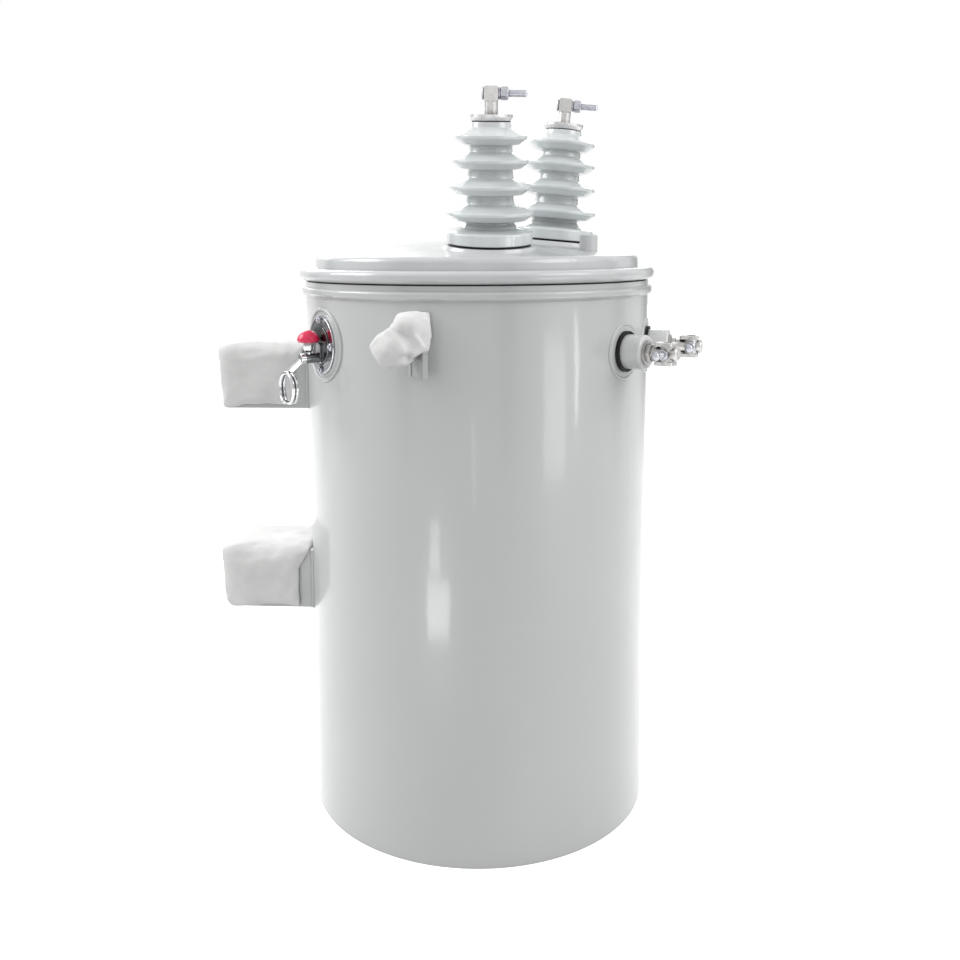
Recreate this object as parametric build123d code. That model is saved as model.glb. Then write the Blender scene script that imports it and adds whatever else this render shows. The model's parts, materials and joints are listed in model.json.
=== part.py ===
"""Single-phase pole mounted distribution transformer, about 37.5 kVA.

Millimetres, +Z up.  The origin is the centre of the tank's underside.
+X points away from the pole, so the pole hangers are at -X.
A direction is in degrees about Z, counted from +X.
"""
import os
from math import asin, degrees, sqrt

from build123d import *

# ---------------------------------------------------------------- tank and rim
tank_radius = 236.0          # outside of the wall
wall_thickness = 3.0
floor_thickness = 5.0
weld_gap = 0.2               # between pieces that a weld joins on the real tank
wall_height = 716.5          # up to the rim ring
bead_height = 11.5           # rolled bead round the top of the tank
bead_overhang = 5.0
bead_round = 4.2
neck_height = 6.5            # plain band above the bead
rim_seat_width = 18.0        # inward flange that carries the cover gasket
rim_seat_thickness = 4.0

# ---------------------------------------------------------------- cover
gasket_thickness = 2.0
gasket_inset = 3.0           # the cover gasket stops short of the tank's outside
lip_height = 15.5            # rolled lip of the cover
lip_overhang = 7.5
lip_round = 7.0
riser_inset = 14.0           # the raised middle starts this far inside the tank radius
riser_height = 15.5
shoulder_round = 8.0
cover_thickness = 3.0
dome_radius = 1170.0
pad_height = 2.7             # raised seat under each high-voltage bushing
pad_margin = 3.0             # seat wider than the bushing's collar, all round
pad_slope = 4.0
plug_direction = -32.85
plug_reach = 179.7
plug_radius = 11.5
plug_height = 20.0
plug_edge = 1.5
plug_thread_radius = 7.5
plug_thread_length = 10.0

# ---------------------------------------------------------------- high-voltage bushings
hv_places = {"front": (-79.5, 141.0), "back": (-1.0, 105.0)}    # direction, and reach along the dome
hv_clearance = 0.5           # between the shank and the cover's hole
hv_shank_radius = 28.0
hv_shank_length = 40.0
hv_gasket_thickness = 2.5
hv_gasket_inset = 2.5
collar_radius = 54.0
collar_height = 17.0
collar_round = 3.2
collar_flare = 3.2           # where the collar runs into the core
collar_rise = 9.5
core_radius_low = 31.0
core_radius_high = 25.5
shed_heights = (39.9, 71.7, 102.8, 131.6)
shed_radii = (54.4, 50.6, 47.4, 44.6)
shed_rim = 3.6               # thickness of each shed's rim
shed_rise = 9.0              # the shed's upper slope, from rim to core
shed_drop = 7.0              # its steeper lower slope
shed_throat = 2.1
shed_undercut = 9.5
shed_root_round = 3.2
shed_throat_round = 2.0
porcelain_height = 149.2
hv_cap_radius = 26.5
hv_cap_foot = 22.8
hv_cap_height = 9.0
hv_cap_edge = 3.2            # upright rim of the conical cap
hv_stem_radius = 8.3
hv_stem_height = 16.0
hv_head_width = 17.0
hv_head_height = 17.5
hv_head_round = 2.5
clamp_bolt_radius = 4.2
clamp_bolt_reach = 43.5      # tip of the bolt, from the middle of the head
clamp_tip_round = 2.5
clamp_hole_clearance = 0.2
clamp_nut_across = 14.0
clamp_nut_length = 12.5
clamp_bolt_head_length = 3.0

# ---------------------------------------------------------------- low-voltage bushings
lv_height = 647.5
lv_directions = {"front": -33.3, "back": -12.2}
lv_boss_radius = 36.7
lv_boss_bevel = 4.0
lv_boss_proud = 0.5
lv_gasket_radius = 26.0
lv_gasket_thickness = 4.3
lv_body_radius = 22.0
lv_body_length = 26.5
lv_body_round = 3.0
lv_shank_radius = 18.0
lv_shank_length = 28.0
lv_shank_clearance = 0.5
lv_washer_radius = 15.5
lv_washer_thickness = 2.5
lv_lock_nut_across = 21.0
lv_lock_nut_length = 6.0
lv_barrel_radius = 8.8
lv_barrel_round = 3.5
lv_terminal_length = 43.5    # from the body's end to the barrel's end
lv_clamp_place = 28.5        # cable hole and clamp bolt, from the body's end
lv_cable_hole_radius = 6.4
lv_collar_radius = lv_barrel_radius + 0.8        # round the cable hole
lv_jaw_start = 14.0
lv_jaw_length = 24.0
lv_jaw_width = 18.0
lv_jaw_low = lv_barrel_radius + 0.8              # jaw plates lie this far above and below the barrel's axis
lv_jaw_thickness = 4.6
lv_jaw_corner = 2.5
lv_bolt_radius = 4.0
lv_bolt_head_radius = 5.2
lv_bolt_head_length = 7.0
lv_bolt_head_round = 3.0
lv_bolt_reach = 36.0         # outer end of the clamp bolt, from the barrel's axis
lv_nut_across = 12.5
lv_nut_length = 6.5

# ---------------------------------------------------------------- lifting lugs
lug_directions = {"front": -104.5, "back": 104.5}
lug_height = 627.5           # lower edge
lug_tall = 70.0
lug_reach = 36.0             # from the wall, along the plate
lug_lean = 42.0              # the plate leans this far from straight outwards, away from the pole
lug_thickness = 6.5
lug_corner = 12.0            # upper outer corner
lug_hole_radius = 9.0
lug_hole_reach = 19.0
lug_hole_rise = 50.0

# ---------------------------------------------------------------- pole hangers
hanger_spacing = 285.75      # 11 1/4 in between the two support lugs
hanger_low = 315.7           # middle of the lower one
hanger_tall = 84.0
hanger_width = 110.0
hanger_standoff = 115.0      # from the tank's outside to the pole face
hanger_thickness = 6.0
hanger_bend = 9.0
slot_width = 21.0
slot_length = 42.0

# ---------------------------------------------------------------- foam wraps
foam_gap = 0.3               # the foam lies this far off the steel
foam_side = 10.0             # thickness beside the hanger
foam_top = 5.5               # thickness above it
foam_short = 2.5             # the foam ends this far above the hanger's lower edge
foam_start = 12.0            # bare steel between the tank and the foam
foam_round = 9.0
lug_foam_reach = 70.0
lug_foam_pole_side = 34.0    # from the lug's direction towards the pole
lug_foam_far_side = 30.0     # and away from it
lug_foam_tall = 64.0
lug_foam_top = 8.0
lug_foam_start = 3.0
lug_foam_round = 14.0

# ---------------------------------------------------------------- breaker handle
switch_height = 656.0
switch_direction = -143.1
switch_boss_radius = 47.3
switch_boss_bevel = 6.4
switch_boss_proud = 0.5
switch_neck_radius = 13.0    # passes through the wall
switch_neck_length = 23.0
switch_neck_clearance = 0.5
flange_radius = 36.7
flange_thickness = 2.6
flange_bolt_circle = 64.0
flange_nut_across = 8.5
flange_nut_length = 3.7
flange_stud_radius = 2.4
flange_stud_length = 5.3
hub_radius = 24.5
hub_height = 1.6
hub_round = 0.8
bracket_width = 11.7
bracket_above = 2.7          # above the fitting's own axis
bracket_below = 25.5         # and below it
bracket_thickness = 2.7
bracket_round = 4.6
shaft_drop = 16.0            # the shaft lies this far under the fitting's axis
sleeve_length = 18.0
shaft_radius = 4.2
shaft_clearance = 0.3
sleeve_radius = shaft_radius + 2.2
knob_radius = 6.7
knob_length = 6.4
arm_width = 7.4
arm_thickness = 4.3
arm_round = 0.8
arm_out = 19.5               # the arm runs this far outwards
arm_down = 17.0              # while it drops this far
ring_radius = 18.8           # middle of the ring's wire
ring_wire = 2.9
signal_out = 12.8            # from the bracket to the signal's axis
cup_foot_radius = 3.8
cup_radius = 7.1
cup_height = 10.6
cup_low = 3.8                # the cup's foot, above the shaft's axis and saddled on the sleeve
cup_flare_start = 8.0
cup_flare_end = 10.5
cup_rim = 1.6
neck_radius = 6.0
neck_tall = 3.7
cap_radius = 14.2
cap_height = 15.4
cap_skirt = 2.7
cap_undercut = 1.6

# ---------------------------------------------------------------- places that follow
rim_top = wall_height + bead_height + neck_height
lip_bottom = rim_top + gasket_thickness
lip_top = lip_bottom + lip_height
lip_radius = tank_radius + lip_overhang
riser_radius = tank_radius - riser_inset
riser_top = lip_top + riser_height
dome_centre = riser_top - sqrt(dome_radius**2 - riser_radius**2)
hanger_high = hanger_low + hanger_spacing
pole_face = tank_radius + hanger_standoff
inside_radius = tank_radius - wall_thickness

upwards = (Align.CENTER, Align.CENTER, Align.MIN)
downwards = (Align.CENTER, Align.CENTER, Align.MAX)


def turned(points, rounds=()):
    """Solid of revolution about Z from (radius, height) points; rounds are (point, radius) pairs."""
    outline = make_face(Polyline(*points, close=True))
    for (x, y), radius in rounds:
        corner = outline.vertices().filter_by(lambda v: abs(v.X - x) < 0.01 and abs(v.Y - y) < 0.01)
        outline = fillet(corner, radius)
    return revolve(Plane.XZ * outline, Axis.Z)


def rod(radius, length, rounded=0.0):
    """Cylinder along +X from the origin, with its far edge rounded."""
    bar = Plane.YZ * Cylinder(radius, length, align=upwards)
    if rounded:
        bar = fillet(bar.edges().group_by(Axis.X)[-1], rounded)
    return bar


def hexagon(across, length):
    """Hexagonal prism along +X from the origin."""
    return Plane.YZ * extrude(RegularPolygon(across / sqrt(3), 6), length)


def on_wall(direction, height, proud=0.0):
    """Frame on the tank's outside: +X outwards, +Y along the wall, +Z up."""
    return Rot(0, 0, direction) * Pos(tank_radius + proud, 0, height)


def on_dome(direction, reach, lift):
    """Frame on the cover's dome, lifted along the dome's own normal, with +Z along it."""
    lean = degrees(asin(reach / dome_radius))
    return Pos(0, 0, dome_centre) * Rot(0, 0, direction) * Rot(0, lean, 0) * Pos(0, 0, dome_radius + lift)


def wall_boss(radius, bevel, proud, hole):
    """Welded boss whose back follows the tank's curve and whose front is flat."""
    depth = radius**2 / tank_radius
    boss = rod(radius, depth + proud)
    boss = Pos(-depth, 0, 0) * chamfer(boss.edges().group_by(Axis.X)[-1], bevel)
    return boss - Pos(-depth, 0, 0) * rod(hole, depth + proud)


def tank_outside():
    return Cylinder(tank_radius, rim_top, align=upwards)


# ---------------------------------------------------------------- tank
def make_tank():
    wall = Cylinder(tank_radius, wall_height, align=upwards)
    wall -= Cylinder(inside_radius, wall_height, align=upwards)
    hole_depth = tank_radius / 2
    lv_hole = rod(lv_shank_radius + lv_shank_clearance, hole_depth)
    for direction in lv_directions.values():
        wall -= on_wall(direction, lv_height, -hole_depth / 2) * lv_hole
    neck_hole = rod(switch_neck_radius + switch_neck_clearance, hole_depth)
    wall -= on_wall(switch_direction, switch_height, -hole_depth / 2) * neck_hole
    floor = Cylinder(inside_radius - weld_gap, floor_thickness, align=upwards)

    bead_radius = tank_radius + bead_overhang
    bead_top = wall_height + bead_height
    rim = turned(
        [
            (inside_radius, wall_height),
            (bead_radius, wall_height),
            (bead_radius, bead_top),
            (tank_radius, bead_top),
            (tank_radius, rim_top),
            (tank_radius - rim_seat_width, rim_top),
            (tank_radius - rim_seat_width, rim_top - rim_seat_thickness),
            (inside_radius, rim_top - rim_seat_thickness),
        ],
        [((bead_radius, wall_height), bead_round), ((bead_radius, bead_top), bead_round)],
    )
    return {"tank_wall": wall, "tank_floor": floor, "tank_rim": rim}


# ---------------------------------------------------------------- cover
def dome(thickness, rounded):
    """Solid under the raised middle of the cover, this thickness inside its surface."""
    radius = dome_radius - thickness
    reach = riser_radius - thickness
    edge, middle = (dome_centre + sqrt(radius**2 - r**2) for r in (reach, reach / 2))
    outline = make_face(
        Polyline((0, dome_centre + radius), (0, lip_bottom), (reach, lip_bottom), (reach, edge))
        + ThreePointArc((reach, edge), (reach / 2, middle), (0, dome_centre + radius))
    )
    shoulder = outline.vertices().filter_by(lambda v: abs(v.X - reach) < 0.01 and abs(v.Y - edge) < 0.01)
    return revolve(Plane.XZ * fillet(shoulder, rounded), Axis.Z)


def make_cover():
    seal = turned([
        (tank_radius - rim_seat_width, rim_top),
        (tank_radius - gasket_inset, rim_top),
        (tank_radius - gasket_inset, lip_bottom),
        (tank_radius - rim_seat_width, lip_bottom),
    ])
    lip = turned(
        [(0, lip_bottom), (lip_radius, lip_bottom), (lip_radius, lip_top), (0, lip_top)],
        [((lip_radius, lip_bottom), lip_round), ((lip_radius, lip_top), lip_round)],
    )
    cover = dome(0, shoulder_round) + lip
    pad_top = collar_radius + pad_margin
    pad = Cone(pad_top + pad_slope, pad_top, pad_height + pad_slope, align=downwards)
    for direction, reach in hv_places.values():
        cover += on_dome(direction, reach, pad_height) * pad
    cover -= dome(cover_thickness, shoulder_round - cover_thickness / 2)
    bore = Cylinder(hv_shank_radius + hv_clearance, 4 * plug_thread_length)
    for direction, reach in hv_places.values():
        cover -= on_dome(direction, reach, 0) * bore
    plug_foot = dome_centre + sqrt(dome_radius**2 - plug_reach**2)
    plug_spot = Rot(0, 0, plug_direction) * Pos(plug_reach, 0, plug_foot)
    cover -= plug_spot * Cylinder(plug_thread_radius + weld_gap, 2 * plug_thread_length)

    head = Cylinder(plug_radius, 2 * plug_height)
    head = chamfer(head.edges().group_by(Axis.Z)[-1], plug_edge)
    head = plug_spot * head - Pos(0, 0, dome_centre) * Sphere(dome_radius)
    thread = plug_spot * Pos(0, 0, plug_height / 2) * Cylinder(
        plug_thread_radius, plug_height / 2 + plug_thread_length, align=downwards)
    return {"cover_gasket": seal, "cover": cover, "filler_plug": head + thread}


# ---------------------------------------------------------------- high-voltage bushings
def porcelain_outline():
    """Points up the outside of the porcelain, and the corners that are rounded."""
    base = hv_gasket_thickness
    foot = base - hv_shank_length
    points = [
        (0, foot),
        (hv_shank_radius, foot),
        (hv_shank_radius, base),
        (collar_radius, base),
        (collar_radius, collar_height),
        (core_radius_low + collar_flare, collar_height + collar_rise / 2),
        (core_radius_low, collar_height + collar_rise),
    ]
    rounds = [((collar_radius, collar_height), collar_round), ((collar_radius, base), collar_round / 3)]
    for height, rim in zip(shed_heights, shed_radii):
        share = (height - collar_height) / (porcelain_height - collar_height)
        core = core_radius_low + share * (core_radius_high - core_radius_low)
        low, high = height - shed_rim / 2, height + shed_rim / 2
        throat = (core, low - shed_drop - shed_throat)
        hollow = (rim - shed_undercut, low - shed_drop)
        root = (core, high + shed_rise)
        points += [throat, hollow, (rim, low), (rim, high), root]
        rounds += [((rim, low), 0.42 * shed_rim), ((rim, high), 0.46 * shed_rim)]
        rounds += [(hollow, shed_root_round), (root, shed_root_round), (throat, shed_throat_round)]
    points += [(core_radius_high - 1, porcelain_height), (0, porcelain_height)]
    return points, rounds


def make_hv_bushing(direction, reach):
    place = on_dome(direction, reach, pad_height)
    gasket = Cylinder(collar_radius - hv_gasket_inset, hv_gasket_thickness, align=upwards)
    gasket -= Cylinder(hv_shank_radius + hv_clearance, 3 * hv_gasket_thickness)
    porcelain = turned(*porcelain_outline())
    cap_top = porcelain_height + hv_cap_height
    cap = turned([
        (0, porcelain_height),
        (hv_cap_foot, porcelain_height),
        (hv_cap_radius, cap_top - hv_cap_edge),
        (hv_cap_radius, cap_top),
        (0, cap_top),
    ])

    head_middle = cap_top + hv_stem_height + hv_head_height / 2
    stem = Pos(0, 0, cap_top) * Cylinder(hv_stem_radius, hv_stem_height + hv_head_round, align=upwards)
    head = Pos(0, 0, head_middle) * Box(hv_head_width, hv_head_width, hv_head_height)
    head = fillet(head.edges().filter_by(Axis.Y), hv_head_round)
    hole = rod(clamp_bolt_radius + clamp_hole_clearance, 2 * hv_head_width)
    terminal = stem + head - Pos(-hv_head_width, 0, head_middle) * hole

    # the clamp bolt points along +X, whatever way the bushing faces
    square_up = Rot(0, 0, -direction)
    bolt_start = Pos(-hv_head_width / 2 - clamp_bolt_head_length, 0, head_middle)
    bolt_length = clamp_bolt_reach + hv_head_width / 2 + clamp_bolt_head_length
    bolt = bolt_start * rod(clamp_bolt_radius, bolt_length, clamp_tip_round)
    bolt += bolt_start * hexagon(clamp_nut_across, clamp_bolt_head_length)
    bolt += Pos(hv_head_width / 2, 0, head_middle) * hexagon(clamp_nut_across, clamp_nut_length)
    pieces = {"gasket": gasket, "porcelain": porcelain, "cap": cap,
              "terminal": square_up * terminal, "clamp_bolt": square_up * bolt}
    return {name: place * piece for name, piece in pieces.items()}


# ---------------------------------------------------------------- low-voltage bushings
def make_lv_terminal():
    """Nut, barrel and jaw of the cable clamp, and its bolt; +X runs outwards from the body's end."""
    nut_end = lv_washer_thickness + lv_lock_nut_length
    terminal = rod(lv_washer_radius, lv_washer_thickness)
    terminal += Pos(lv_washer_thickness, 0, 0) * hexagon(lv_lock_nut_across, lv_lock_nut_length)
    terminal += Pos(nut_end, 0, 0) * rod(lv_barrel_radius, lv_terminal_length - nut_end, lv_barrel_round)
    jaw_middle = lv_jaw_low + lv_jaw_thickness / 2
    for side in (-1, 1):
        jaw = Pos(lv_jaw_start + lv_jaw_length / 2, 0, side * jaw_middle) * Box(
            lv_jaw_length, lv_jaw_width, lv_jaw_thickness)
        terminal += fillet(jaw.edges().filter_by(Axis.Z), lv_jaw_corner)
    clamp = Pos(lv_clamp_place, 0, 0)
    terminal += clamp * Cylinder(lv_collar_radius, 2 * jaw_middle)
    terminal -= clamp * Cylinder(lv_cable_hole_radius, 4 * jaw_middle)

    # the bolt comes in from the -Y side and ends at the edge of the cable hole
    bolt_line = clamp * Rot(0, 0, -90)
    terminal -= bolt_line * rod(lv_bolt_radius + clamp_hole_clearance, lv_bolt_reach)
    shank_end = lv_bolt_reach - lv_bolt_head_length
    nut_seat = lv_collar_radius + clamp_hole_clearance
    bolt = rod(lv_bolt_radius, shank_end) - Rot(0, 0, 90) * Cylinder(lv_cable_hole_radius, 4 * lv_bolt_radius)
    bolt += Pos(nut_seat, 0, 0) * hexagon(lv_nut_across, lv_nut_length)
    bolt += Pos(shank_end, 0, 0) * rod(lv_bolt_head_radius, lv_bolt_head_length, lv_bolt_head_round)
    return terminal, bolt_line * max(bolt.solids(), key=lambda solid: solid.volume)


def make_lv_bushing(direction):
    place = on_wall(direction, lv_height)
    shank_hole = lv_shank_radius + lv_shank_clearance
    boss = wall_boss(lv_boss_radius, lv_boss_bevel, lv_boss_proud, shank_hole)
    gasket_end = lv_boss_proud + lv_gasket_thickness
    gasket = rod(lv_gasket_radius, lv_gasket_thickness) - rod(shank_hole, gasket_end)
    body_end = gasket_end + lv_body_length
    body = Pos(gasket_end, 0, 0) * rod(lv_body_radius, lv_body_length, lv_body_round)
    body += Pos(-lv_shank_length, 0, 0) * rod(lv_shank_radius, lv_shank_length + body_end / 2)
    terminal, bolt = make_lv_terminal()
    pieces = {"boss": boss, "gasket": Pos(lv_boss_proud, 0, 0) * gasket, "body": body,
              "terminal": Pos(body_end, 0, 0) * terminal, "clamp_bolt": Pos(body_end, 0, 0) * bolt}
    placed = {name: place * piece for name, piece in pieces.items()}
    placed["boss"] -= tank_outside()
    return placed


# ---------------------------------------------------------------- lifting lugs
def make_lug(direction, side):
    """Plate welded on edge to the wall; side is -1 for the front lug and 1 for the back one."""
    place = on_wall(direction, lug_height) * Rot(0, 0, -side * lug_lean)
    plate = Pos(0, 0, lug_tall / 2) * Box(2 * lug_reach, lug_thickness, lug_tall)
    upper_corner = plate.edges().filter_by(Axis.Y).group_by(Axis.X)[-1].group_by(Axis.Z)[-1]
    plate = fillet(upper_corner, lug_corner)
    hole = Rot(90, 0, 0) * Cylinder(lug_hole_radius, 2 * lug_thickness)
    plate -= Pos(lug_hole_reach, 0, lug_hole_rise) * hole
    return place * plate - tank_outside()


def make_lug_wrap(direction, side):
    """Crumpled foam over the lug's upper part, open below, where the plate comes out."""
    place = on_wall(direction, lug_height)
    steel_high = lug_tall + foam_gap
    length = lug_foam_reach - lug_foam_start
    middle = (lug_foam_start + length / 2, side * (lug_foam_pole_side - lug_foam_far_side) / 2)
    block = Pos(*middle, steel_high + lug_foam_top) * Box(
        length, lug_foam_pole_side + lug_foam_far_side, lug_foam_tall, align=downwards)
    block = fillet(block.edges().filter_by(Axis.Z), lug_foam_round)
    block = fillet(block.edges().group_by(Axis.Z)[-1], 0.8 * lug_foam_round)
    cut = Pos(0, 0, steel_high) * Box(
        2 * (lug_reach + foam_gap), lug_thickness + 2 * foam_gap, steel_high, align=downwards)
    return place * (block - Rot(0, 0, -side * lug_lean) * cut)


# ---------------------------------------------------------------- pole hangers
def make_hanger(height):
    """Bent channel on the tank with a slotted pole face, open above and below."""
    inner_reach = pole_face - hanger_thickness
    outside = Pos(-pole_face / 2, 0, height) * Box(pole_face, hanger_width, hanger_tall)
    outside = fillet(outside.edges().filter_by(Axis.Z).group_by(Axis.X)[0], hanger_bend)
    inside = Pos(-inner_reach / 2, 0, height) * Box(
        inner_reach, hanger_width - 2 * hanger_thickness, 2 * hanger_tall)
    inside = fillet(inside.edges().filter_by(Axis.Z).group_by(Axis.X)[0], hanger_bend - hanger_thickness)
    slot = extrude(SlotOverall(slot_length, slot_width), hanger_thickness, both=True)
    slot = Pos(-pole_face + hanger_thickness / 2, 0, height) * (Plane.YZ * Rot(0, 0, 90) * slot)
    return outside - inside - slot - tank_outside()


def make_hanger_wrap(height):
    """Foam folded over the hanger, open below and at the pole face, so that the slot stays free."""
    start = tank_radius + foam_start
    length = pole_face - start
    middle = -(pole_face + start) / 2
    low = height - hanger_tall / 2 + foam_short
    high = height + hanger_tall / 2 + foam_gap + foam_top
    width = hanger_width + 2 * (foam_gap + foam_side)
    block = Pos(middle, 0, low) * Box(length, width, high - low, align=upwards)
    block = fillet(block.edges().filter_by(Axis.X).group_by(Axis.Z)[-1], foam_round)
    block = fillet(block.edges().filter_by(Axis.Z).group_by(Axis.X)[0], foam_round / 2)
    core = Pos(middle, 0, height) * Box(2 * length, hanger_width + 2 * foam_gap, hanger_tall + 2 * foam_gap)
    return block - core


# ---------------------------------------------------------------- breaker fitting
def make_handle(bracket_face):
    """Shaft, knob and arm as one piece, and the ring it ends in; +X outwards along the shaft."""
    knob_start = bracket_face + sleeve_length + shaft_clearance
    shaft_start = bracket_face - bracket_thickness + shaft_clearance
    shaft = Pos(shaft_start, 0, 0) * rod(shaft_radius, knob_start - shaft_start)
    knob = Pos(knob_start, 0, 0) * rod(knob_radius, knob_length, 1.0)
    arm_start = knob_start + knob_length / 2
    slant = sqrt(arm_out**2 + arm_down**2)
    arm_length = slant + arm_thickness
    arm = Pos(arm_length / 2, 0, 0) * Box(arm_length, arm_width, arm_thickness)
    slope = degrees(asin(arm_down / slant))
    arm = Pos(arm_start, 0, 0) * Rot(0, slope, 0) * fillet(arm.edges().filter_by(Axis.Z), arm_round)
    ring_middle = Pos(arm_start + arm_out, 0, -arm_down - ring_radius) * Rot(0, 90, 0)
    handle = shaft + knob + arm - ring_middle * Torus(ring_radius, ring_wire + weld_gap / 2)
    ring = ring_middle * Torus(ring_radius, ring_wire)
    return max(handle.solids(), key=lambda solid: solid.volume), ring


def make_signal():
    """Cup on the sleeve, white neck and red mushroom cap; +Z up from the shaft's axis."""
    cup_top = sleeve_radius + cup_height
    cup = turned([
        (0, cup_low),
        (cup_foot_radius, cup_low),
        (cup_foot_radius, cup_flare_start),
        (cup_radius - 1, cup_flare_end),
        (cup_radius, cup_top - cup_rim),
        (cup_radius, cup_top),
        (0, cup_top),
    ])
    neck = Pos(0, 0, cup_top) * Cylinder(neck_radius, neck_tall, align=upwards)
    cap_low = cup_top + neck_tall
    centre = (cap_height**2 - cap_radius**2 - cap_skirt**2) / (2 * (cap_height - cap_skirt))
    reach = (cap_height - centre) * sqrt(0.5)
    skirt = (cap_radius, cap_low + cap_skirt)
    crown = (0, cap_low + cap_height)
    outline = make_face(
        Polyline(crown, (0, cap_low), (cap_radius - cap_undercut, cap_low), skirt)
        + ThreePointArc(skirt, (reach, cap_low + centre + reach), crown)
    )
    return cup, neck, revolve(Plane.XZ * outline, Axis.Z)


def make_switch():
    """Boss, flange, handle and signal cap; the handle turns on its shaft."""
    place = on_wall(switch_direction, switch_height)
    boss = wall_boss(switch_boss_radius, switch_boss_bevel, switch_boss_proud,
                     switch_neck_radius + switch_neck_clearance)
    flange_front = switch_boss_proud + flange_thickness
    flange = Pos(switch_boss_proud, 0, 0) * rod(flange_radius, flange_thickness, 1.0)
    flange += Pos(-switch_neck_length, 0, 0) * rod(switch_neck_radius, switch_neck_length + flange_front / 2)
    nut = hexagon(flange_nut_across, flange_nut_length) + rod(flange_stud_radius, flange_stud_length)
    nuts = Compound(children=[
        Rot(turn, 0, 0) * Pos(flange_front, 0, flange_bolt_circle / 2) * nut for turn in (0, 90, 180, 270)
    ])
    hub_front = flange_front + hub_height
    hub = Pos(flange_front, 0, 0) * rod(hub_radius, hub_height, hub_round)

    shaft_axis = Pos(0, 0, -shaft_drop)
    bracket_front = hub_front + bracket_thickness
    bracket = Pos(hub_front + bracket_thickness / 2, 0, (bracket_above - bracket_below) / 2) * Box(
        bracket_thickness, bracket_width, bracket_above + bracket_below)
    bracket = fillet(bracket.edges().filter_by(Axis.X), bracket_round)
    running = shaft_radius + shaft_clearance
    bracket -= shaft_axis * Pos(hub_front, 0, 0) * rod(running, bracket_thickness)
    sleeve = rod(sleeve_radius, sleeve_length) - rod(running, sleeve_length)
    sleeve = shaft_axis * Pos(bracket_front, 0, 0) * sleeve

    handle, ring = (shaft_axis * piece for piece in make_handle(bracket_front))
    signal_axis = shaft_axis * Pos(bracket_front + signal_out, 0, 0)
    cup, neck, cap = (signal_axis * piece for piece in make_signal())
    cup -= shaft_axis * Pos(bracket_front, 0, 0) * rod(sleeve_radius, sleeve_length)
    pieces = {
        "switch_boss": boss, "switch_flange": flange, "switch_flange_nuts": nuts, "switch_hub": hub,
        "switch_bracket": bracket, "switch_sleeve": sleeve, "signal_cup": cup, "signal_neck": neck,
        "signal_cap": cap, "switch_handle": handle, "switch_ring": ring,
    }
    placed = {name: place * piece for name, piece in pieces.items()}
    placed["switch_boss"] -= tank_outside()
    return placed


# ---------------------------------------------------------------- assembly
def make_transformer():
    nodes = make_tank()
    nodes |= make_cover()
    for end, side in (("front", -1), ("back", 1)):
        nodes |= {f"hv_{name}_{end}": piece for name, piece in make_hv_bushing(*hv_places[end]).items()}
        nodes |= {f"lv_{name}_{end}": piece for name, piece in make_lv_bushing(lv_directions[end]).items()}
        nodes[f"lifting_lug_{end}"] = make_lug(lug_directions[end], side)
        nodes[f"lug_wrap_{end}"] = make_lug_wrap(lug_directions[end], side)
    for level, height in (("lower", hanger_low), ("upper", hanger_high)):
        nodes[f"hanger_{level}"] = make_hanger(height)
        nodes[f"hanger_wrap_{level}"] = make_hanger_wrap(height)
    return nodes | make_switch()


os.makedirs("parts", exist_ok=True)
for node, shape in make_transformer().items():
    export_step(shape, f"parts/{node}.step")
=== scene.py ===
import json
from math import atan2, cos, pi, radians, sin, sqrt

import bmesh
import bpy
import numpy as np
from bpy.props import FloatProperty, FloatVectorProperty, PointerProperty
from mathutils import Matrix, Vector, noise


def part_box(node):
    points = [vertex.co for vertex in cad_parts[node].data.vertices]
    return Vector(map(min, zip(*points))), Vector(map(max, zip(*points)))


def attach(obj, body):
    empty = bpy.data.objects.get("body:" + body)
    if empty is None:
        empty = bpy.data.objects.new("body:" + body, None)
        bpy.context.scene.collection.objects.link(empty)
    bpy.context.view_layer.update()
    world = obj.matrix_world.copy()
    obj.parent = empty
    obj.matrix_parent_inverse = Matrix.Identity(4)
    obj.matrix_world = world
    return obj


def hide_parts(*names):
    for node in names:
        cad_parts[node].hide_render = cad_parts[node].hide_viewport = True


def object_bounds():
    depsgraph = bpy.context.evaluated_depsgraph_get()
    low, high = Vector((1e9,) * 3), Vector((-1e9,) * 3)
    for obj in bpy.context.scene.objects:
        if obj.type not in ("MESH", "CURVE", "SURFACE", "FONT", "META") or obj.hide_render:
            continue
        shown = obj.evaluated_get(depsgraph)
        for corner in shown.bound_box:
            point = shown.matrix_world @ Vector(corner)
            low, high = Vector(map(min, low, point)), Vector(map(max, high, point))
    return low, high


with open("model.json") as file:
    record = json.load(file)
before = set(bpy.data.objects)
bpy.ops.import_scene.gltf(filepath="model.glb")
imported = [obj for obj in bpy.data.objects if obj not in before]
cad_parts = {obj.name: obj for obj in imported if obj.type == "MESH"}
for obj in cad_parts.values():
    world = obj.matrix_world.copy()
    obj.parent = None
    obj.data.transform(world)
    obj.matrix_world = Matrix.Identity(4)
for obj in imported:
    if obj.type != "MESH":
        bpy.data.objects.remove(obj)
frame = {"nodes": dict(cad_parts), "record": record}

bl_info = {
    "name": "Pole mounted transformer",
    "version": (1, 0, 0),
    "blender": (4, 5, 0),
    "location": "3D View > Sidebar > Transformer",
    "description": "Foam wraps, welds, bolts and finishes of a pole mounted transformer",
    "category": "Add Mesh",
}

CAD_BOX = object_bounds()
MM = 0.001
HAIR = 0.01 * MM  # two places nearer than this are the same
ENDS = ("front", "back")

BEAD_OVERHANG = 5 * MM  # the rim's bead stands this far out of the wall
TANK_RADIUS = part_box("tank_rim")[1].x - BEAD_OVERHANG
WALL_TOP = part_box("tank_wall")[1].z

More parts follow.
